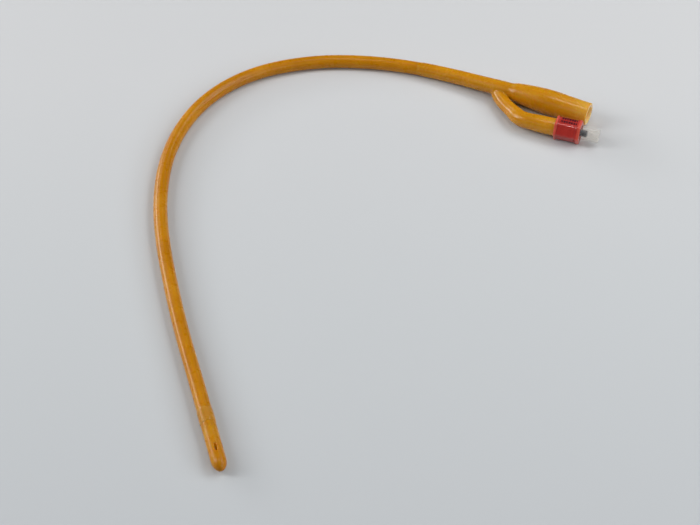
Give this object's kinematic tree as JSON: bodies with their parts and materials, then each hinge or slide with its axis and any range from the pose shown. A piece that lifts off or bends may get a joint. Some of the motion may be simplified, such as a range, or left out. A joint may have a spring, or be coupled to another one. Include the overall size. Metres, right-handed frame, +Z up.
{
  "type": "foley urinary catheter",
  "caption": "Latex urinary catheter with a rounded two-eye tip, a deflated balloon sleeve, a drainage funnel and an inflation arm that ends in a spring-closed syringe port.",
  "frame": {"origin": "on the table, under the middle of the catheter's footprint as it lies in its curve", "axes": "+X along the drainage funnel and out of its mouth, +Y from the tip's end of the footprint towards the funnel's end, +Z up from the table"},
  "size_m": [0.1746, 0.2539, 0.0115],
  "materials": {
    "latex": "satin amber latex, slightly translucent",
    "balloon_latex": "satin pale amber latex",
    "moulded_latex": "satin amber latex, moulded",
    "red_plastic": "gloss red",
    "clear_plastic": "clear, slightly milky",
    "white_plastic": "white",
    "slate_plastic": "dark slate",
    "seal_rubber": "black",
    "spring_steel": "bright wire"
  },
  "bodies": {
    "catheter": {"rounded_tip": "latex", "shaft_tube": "latex", "balloon_sleeve": "balloon_latex", "y_funnel": "moulded_latex", "valve_collar": "red_plastic", "port_housing": "clear_plastic", "valve_outlet": "white_plastic", "valve_spring": "spring_steel"},
    "stem": {"valve_stem": "slate_plastic", "stem_seal": "seal_rubber"}
  },
  "joints": [
    {"name": "valve_press", "type": "slide", "parent": "catheter", "child": "stem", "axis": [-0.9925, -0.1219, 0], "range_m": [0, 0.0016], "stiffness_N_per_m": 150, "deforming": ["valve_spring"]}
  ]
}
